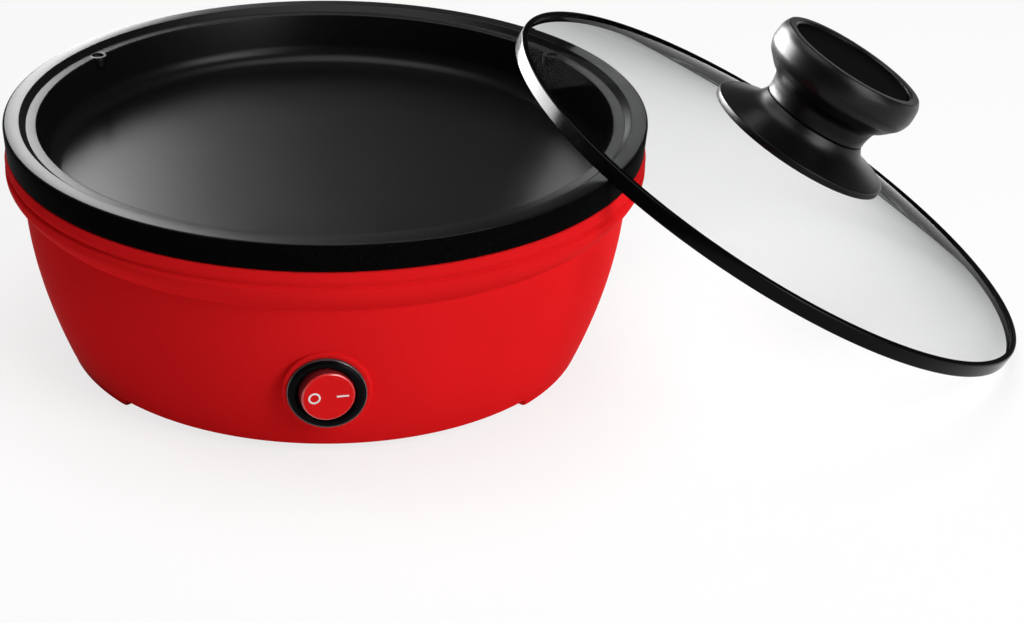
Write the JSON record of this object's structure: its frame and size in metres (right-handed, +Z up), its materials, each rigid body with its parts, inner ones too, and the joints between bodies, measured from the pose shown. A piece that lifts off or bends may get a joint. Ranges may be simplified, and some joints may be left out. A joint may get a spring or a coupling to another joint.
{
  "type": "electric skillet",
  "caption": "Round electric skillet: red moulded base with a front rocker switch, dark coated pan, and a loose domed glass lid with a knob that leans on the rim.",
  "frame": {"origin": "on the table, on the pan's axis, in the plane of the three feet", "axes": "+Z up along the pan's axis, -Y towards the switch and the front, +X to the right where the lid leans"},
  "size_m": [0.34, 0.21, 0.1057],
  "materials": {
    "red_housing": "glossy red",
    "red_rocker": "glossy translucent red",
    "pan_coating": "satin non-stick coating",
    "dark_sheet": "matt",
    "black_plastic": "satin",
    "knob_plastic": "satin",
    "knob_disc": "fine texture",
    "lid_glass": "clear",
    "lid_band": "gloss",
    "soft_washer": "matt",
    "steel": "satin",
    "bright_sheet": "bright",
    "brass": "satin",
    "ceramic": "unglazed ceramic",
    "sleeving": "satin",
    "lead_sleeving": "woven sleeving",
    "lamp_glass": "clear"
  },
  "bodies": {
    "base": {"base_housing": "red_housing", "bottom_cover": "dark_sheet", "cover_screws": "steel", "pan": "pan_coating", "tie_stud": "steel", "tie_nuts": "steel", "tie_washers": "steel", "reflector_spacer": "steel", "heat_reflector": "bright_sheet", "heating_element": "steel", "terminal_beads": "ceramic", "element_clamps": "steel", "pan_screws": "steel", "thermostat": "steel", "thermal_fuse": "ceramic", "fuse_clip": "steel", "terminal_block": "ceramic", "block_screw": "steel", "cord_bushing": "black_plastic", "bushing_nut": "black_plastic", "push_on_sleeves": "sleeving", "earth_lug": "brass", "lead_live": "lead_sleeving", "lead_switched": "lead_sleeving", "lead_fuse": "lead_sleeving", "lead_neutral": "lead_sleeving", "lead_lamp": "lead_sleeving", "lead_earth": "lead_sleeving", "switch_body": "black_plastic", "switch_terminals": "brass", "neon_lamp": "lamp_glass"},
    "rocker": {"switch_rocker": "red_rocker", "rocker_plunger": "brass"},
    "blade": {"contact_blade": "brass"},
    "lid": {"lid_glass": "lid_glass", "lid_band": "lid_band", "knob_base": "knob_plastic", "knob_grip": "knob_plastic", "knob_disc": "knob_disc", "lid_screw": "steel", "lid_washer": "soft_washer"}
  },
  "joints": [
    {"name": "rocker_turn", "type": "hinge", "parent": "base", "child": "rocker", "pos_m": [0.0006, -0.09823, 0.028], "axis": [0, -0.0558, 0.9984], "range_deg": [-20, 0]},
    {"name": "blade_tip", "type": "hinge", "parent": "base", "child": "blade", "pos_m": [0.0006, -0.08885, 0.02852], "axis": [0, -0.0558, 0.9984], "range_deg": [0, 14]},
    {"name": "lid_lift", "type": "slide", "parent": "base", "child": "lid", "axis": [0, 0, 1], "range_m": [0, 0.2]}
  ],
  "couplings": [
    {"joint": "blade_tip", "follows": "rocker_turn", "ratio": -0.7}
  ]
}
